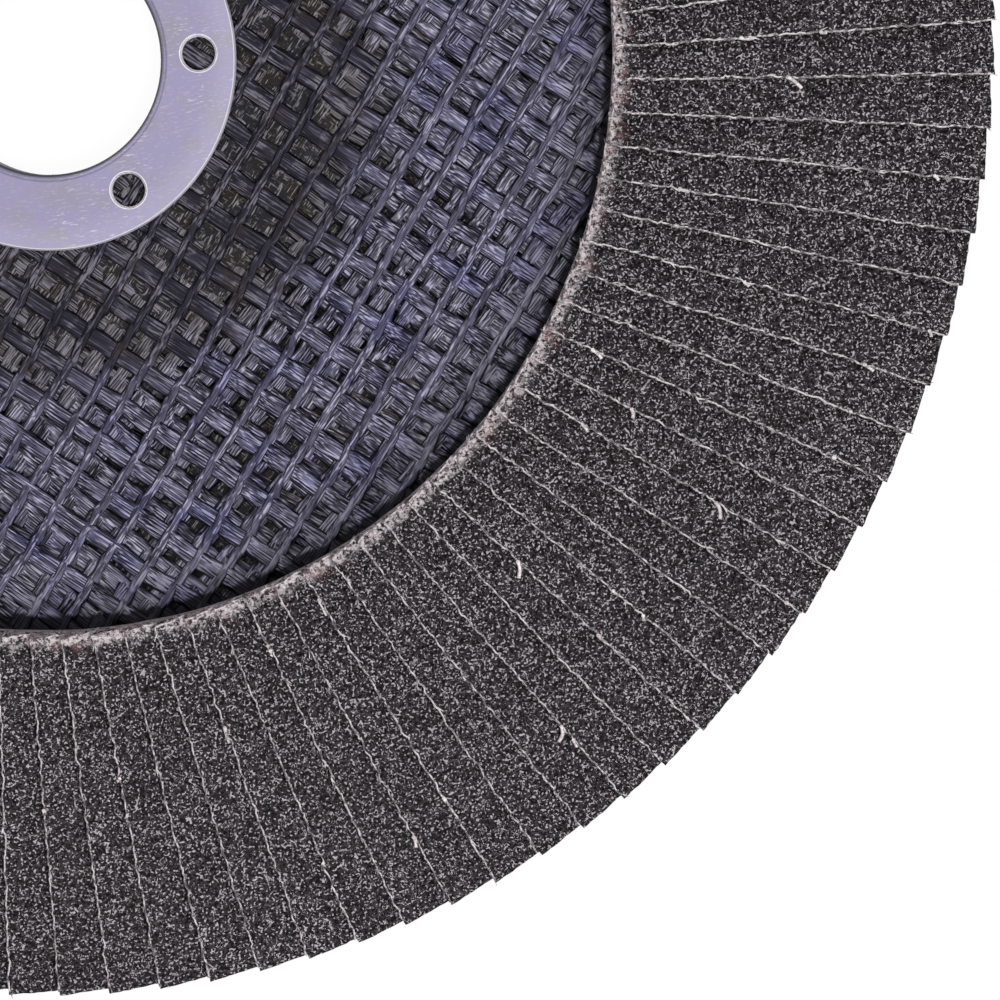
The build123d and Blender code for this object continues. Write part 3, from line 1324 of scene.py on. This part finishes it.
@dataclass
class FlapRing:
    """The ring of abrasive-cloth flaps, in sets of five, with the fuzz of their cut edges."""

    along_step: float = 0.5
    shown: float = 5.4
    across_step: float = 0.5
    cloth_share: float = 0.5
    grit: float = 0.2
    droop: float = 1.1
    droop_reach: float = 5.0
    ragged: float = 0.35
    hidden: tuple[float, float] = (8.0, 12.0)
    thread_seed: int = 23
    thread_size: float = 0.19
    thread_steps: int = 6
    thread_fall: float = 1.6
    thread_lift: float = 0.07
    slot: str = "abrasive_cloth"

    def spot(self, along: float, across: float, height: float) -> Vector:
        """A point of a flap.

        Args:
            along: share of the free edge's length, from its inner end.
            across: distance from the free edge over the cloth.
            height: upright distance above the underside.

        Returns:
            Its place, for a flap whose line runs along X.
        """
        s = SIZES
        level = across * math.cos(s.lean)
        reach = s.inner_reach + along * (s.outer_reach - s.inner_reach)
        rise = (s.flap_width - across) * math.sin(s.lean)
        sag = self.droop * along * math.exp(-across / self.droop_reach)
        return Vector((reach - level * math.tan(math.radians(s.end_skew)), level - s.edge_offset,
                       s.bed_top + rise + height - sag))

    def flap(self) -> Object:
        """One closed flap: grain on a fine grid where it shows, cloth below.

        Returns:
            An object whose mesh says where it is gritty, cut and cloth.
        """
        rows = round((SIZES.outer_reach - SIZES.inner_reach) / self.along_step) + 1
        across = [*np.arange(0, self.shown + 0.01, self.across_step), *self.hidden,
                  SIZES.flap_width]
        top_height = SIZES.flap_thickness
        mid_height = top_height * self.cloth_share
        points, grit, cut = [], [], []

        def add(row: int, distance: float, height: float, rough: float) -> int:
            """Adds a point.

            Args:
                row: its row, from the inner end.
                distance: distance from the free edge.
                height: height above the underside.
                rough: share of the grit's roughness.

            Returns:
                Its number.
            """
            points.append(self.spot(row / (rows - 1), distance, height))
            grit.append(rough if distance <= self.shown - self.across_step else 0.0)
            cut.append(1.0 if distance == 0 or row in (0, rows - 1) else 0.0)
            return len(points) - 1

        top = [[add(i, t, top_height, 1.0) for t in across] for i in range(rows)]
        ring = [(i, across[0]) for i in range(rows)] + [(rows - 1, t) for t in across[1:]]
        ring += [(i, across[-1]) for i in reversed(range(rows - 1))]
        ring += [(0, t) for t in reversed(across[1:-1])]
        place = {t: k for k, t in enumerate(across)}
        upper = [top[i][place[t]] for i, t in ring]
        middle = [add(i, t, mid_height, 0.0) for i, t in ring]
        lower = [add(i, t, 0.0, 0.0) for i, t in ring]
        faces = [(top[i][j], top[i + 1][j], top[i + 1][j + 1], top[i][j + 1])
                 for i in range(rows - 1) for j in range(len(across) - 1)]
        cloth = [0.0] * (len(faces) + len(ring)) + [1.0] * (len(ring) + 1)
        for high, low in ((upper, middle), (middle, lower)):
            faces += [(high[k - 1], low[k - 1], low[k], high[k]) for k in (*range(1, len(ring)), 0)]
        faces.append(tuple(reversed(lower)))
        mesh = mesh_of("flap", points, faces)
        for name, domain, values in (("grit", "POINT", grit), ("cut", "POINT", cut),
                                     ("cloth", "FACE", cloth)):
            mesh.attributes.new(name, "FLOAT", domain).data.foreach_set("value", values)
        return placed("flap", mesh)

    @staticmethod
    def turn(flap: float) -> Matrix:
        """The turn from a flap along X to the flap of that number."""
        return Matrix.Rotation(math.radians(SIZES.first_angle + flap * SIZES.pitch), 4, "Z")

    def guides(self, name: str, lines: Any) -> Object:
        """The same lines on every flap.

        Args:
            name: name of the guides.
            lines: each line's points, as share of length, distance from the free edge and height.

        Returns:
            An object of loose edges.
        """
        points, edges = [], []
        for k in range(SIZES.flap_count):
            turn = self.turn(k)
            for line in lines:
                edges += [(len(points) + i, len(points) + i + 1) for i in range(len(line) - 1)]
                points += [turn @ self.spot(*end) for end in line]
        return placed(name, mesh_of(name, points, (), edges))

    def face_height(self, spot: Vector) -> float:
        """Height of the face next below a flap.

        Args:
            spot: a point in the flap's own frame.

        Returns:
            The height of the face under it.
        """
        s = SIZES
        there = Matrix.Rotation(math.radians(s.pitch), 4, "Z") @ spot
        across = max(0.0, (there.y + s.edge_offset) / math.cos(s.lean))
        along = (there.x - s.inner_reach) / (s.outer_reach - s.inner_reach)
        return self.spot(along, across, s.flap_thickness).z

    def threads(self) -> Object:
        """Frayed threads that have come away from some free edges and lie on the next flap.

        Returns:
            An object of bent loose edges.
        """
        draw = random.Random(self.thread_seed)
        points, edges = [], []
        steps = self.thread_steps
        for k in range(SIZES.flap_count):
            turn = self.turn(k)
            for _ in range(draw.choice((0, 1, 1, 1, 2))):
                along, length = draw.uniform(0.08, 0.96), draw.choice((0.7, 1.0, 1.3, 1.8))
                heading = -draw.uniform(0.0, 0.35)
                curl = draw.choice((-1, -1, -1, 0.4)) * draw.uniform(0.05, 0.2)
                at = self.spot(along, 0.0, SIZES.flap_thickness)
                edges += [(len(points) + i, len(points) + i + 1) for i in range(steps)]
                for i in range(steps + 1):
                    high = max(self.face_height(at), at.z - self.thread_fall * i / steps)
                    points.append(turn @ Vector((at.x, at.y, high + self.thread_lift)))
                    heading += curl + draw.uniform(-0.12, 0.12)
                    at = at + Vector((math.cos(heading), math.sin(heading), 0)) * (length / steps)
        return placed("thread_guides", mesh_of("thread_guides", points, (), edges))

    def fuzz(self) -> tuple[Fuzz, Fuzz]:
        """The fuzz of the free edges and of the inner ends."""
        edge = ((0.0, 0.03, 0.98), (0.988, 0.03, 0.98))
        ends = tuple(((0.0, 0.0, height), (0.0, 3.4, height)) for height in (0.97, 0.72, 0.4))
        pale = FibreFinish("cut_fibre", srgb(198, 190, 193), srgb(84, 77, 81))
        tinted = FibreFinish("end_fibre", srgb(196, 187, 190), srgb(86, 70, 74))
        return (Fuzz("free_edge_fuzz", (edge,), 0.11, 1.0, 0.16, 0.7, 0.5, 4, pale),
                Fuzz("inner_end_fuzz", ends, 0.13, 0.8, 0.25, 0.4, 1.0, 8, tinted))

    def build(self) -> None:
        """Builds the sets of flaps and their fuzz."""
        grain = GrainFinish("grain", srgb(6, 5, 6), srgb(54, 49, 52), srgb(176, 169, 174),
                            srgb(190, 181, 184)).build()
        cloth = ClothFinish("backing_cloth", srgb(146, 138, 141), srgb(128, 108, 111),
                            srgb(58, 50, 54)).build()
        bright = FibreFinish("thread_fibre", srgb(232, 224, 224), srgb(178, 168, 170)).build()
        flaps, fuzz = FlapTree(), EdgeTree()
        for index in range(SIZES.flap_sets):
            name = f"flaps_{index + 1:02d}"
            first = math.radians(SIZES.first_angle + index * SIZES.pitch)
            piece = flaps.bake(self.flap(), "cloth_" + name, {
                "Count": SIZES.flaps_per_set, "First Angle": first, "Grit": self.grit,
                "Ragged": self.ragged, "Seed": index, "Grain": grain, "Cloth": cloth})
            on_root(piece, self.slot, name)
        for kind in self.fuzz():
            guides = self.guides(kind.name + "_guides", kind.lines)
            on_root(fuzz.bake(guides, kind.name, kind.values()), self.slot)
        loose = ThreadTree().bake(self.threads(), "loose_threads",
                                  {"Size": self.thread_size, "Material": bright})
        on_root(loose, self.slot)


# ---- ring, bed and setting ----


@dataclass
class Fittings:
    """The pressed ring in the bore and the adhesive bed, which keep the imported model's shapes."""

    def build(self) -> None:
        """Dresses both nodes."""
        ring = RingFinish("plated_steel", srgb(130, 125, 151), srgb(125, 122, 134),
                          srgb(178, 174, 179), srgb(217, 215, 220), srgb(44, 42, 49))
        glue = ResinFinish("flap_adhesive", srgb(40, 36, 38), srgb(66, 56, 50), srgb(52, 46, 45),
                           srgb(60, 52, 48), srgb(104, 98, 96))
        for node, finish in (("hub_ring", ring), ("adhesive_bed", glue)):
            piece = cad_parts[node]
            piece.data.materials.clear()
            piece.data.materials.append(finish.build())
            log.info("%s: dressed", node)


@dataclass(frozen=True)
class Lamp:
    """A soft square lamp that faces the disc, in metres and watts."""

    name: str
    place: tuple[float, float, float]
    size: float
    power: float

    def build(self) -> None:
        """Lights it."""
        data = bpy.data.lights.new(self.name, "AREA")
        data.shape, data.size, data.energy = "SQUARE", self.size, self.power
        piece = placed(self.name, data)
        piece.location = self.place
        piece.rotation_euler = (-Vector(self.place)).to_track_quat("-Z", "Y").to_euler()


@dataclass
class Studio:
    """Pale floor, soft light and the camera."""

    lamps: tuple[Lamp, ...] = (Lamp("key", (0.45, -0.4, 1.0), 0.4, 13.0),
                               Lamp("fill", (-0.6, 0.5, 0.9), 0.9, 4.0))
    camera_place: tuple[float, float, float] = (50.0, -14.5, 263.9)
    camera_turn: tuple[float, float, float] = (-6.12, 1.29, 0.48)
    focal: float = 96.0
    floor_size: float = 3.0
    floor_white: float = 0.95
    world_light: float = 0.45

    def floor(self) -> None:
        """A plain white floor under the disc, which the camera sees as white."""
        half = self.floor_size / 2
        corners = [(-half, -half, 0), (half, -half, 0), (half, half, 0), (-half, half, 0)]
        piece = placed("floor", mesh_of("floor", corners, [(0, 1, 2, 3)]))
        net = ShaderNet("floor")
        net.dress(srgb(236, 236, 238), 0.9)
        added_light = net.add("ShaderNodeEmission", None, {"Color": (1, 1, 1, 1), "Strength": 1.0})
        mixed = net.add("ShaderNodeMixShader", None,
                        {0: net.seen() * self.floor_white, 1: Sock(net, net.surface.outputs[0]),
                         2: added_light})
        net.link(net.target.inputs["Surface"], mixed)
        piece.data.materials.append(net.material)

    def world(self) -> None:
        """A plain white world, which the camera sees at full strength."""
        world = bpy.data.worlds.new("studio")
        bpy.context.scene.world = world
        world.use_nodes = True
        net = Net(world.node_tree)
        ground = world.node_tree.nodes["Background"]
        ground.inputs["Color"].default_value = (1, 1, 1, 1)
        net.link(ground.inputs["Strength"], net.seen() * (1 - self.world_light) + self.world_light)

    def camera(self) -> None:
        """The camera above the disc, and the plain view transform."""
        data = bpy.data.cameras.new("camera")
        data.lens, data.sensor_width = self.focal, 36.0
        camera = placed("camera", data)
        camera.location = Vector(self.camera_place) * MM
        camera.rotation_euler = Euler([math.radians(a) for a in self.camera_turn])
        bpy.context.scene.camera = camera
        bpy.context.scene.view_settings.view_transform = "Standard"

    def build(self) -> None:
        """Builds the floor, the lamps, the world and the camera."""
        self.floor()
        for lamp in self.lamps:
            lamp.build()
        self.world()
        self.camera()


def main() -> None:
    """Builds the disc and its setting."""
    logging.basicConfig(level=logging.INFO, stream=sys.stderr)
    Studio().build()
    Laminate().build()
    FlapRing().build()
    Fittings().build()


if __name__ == "__main__":
    main()
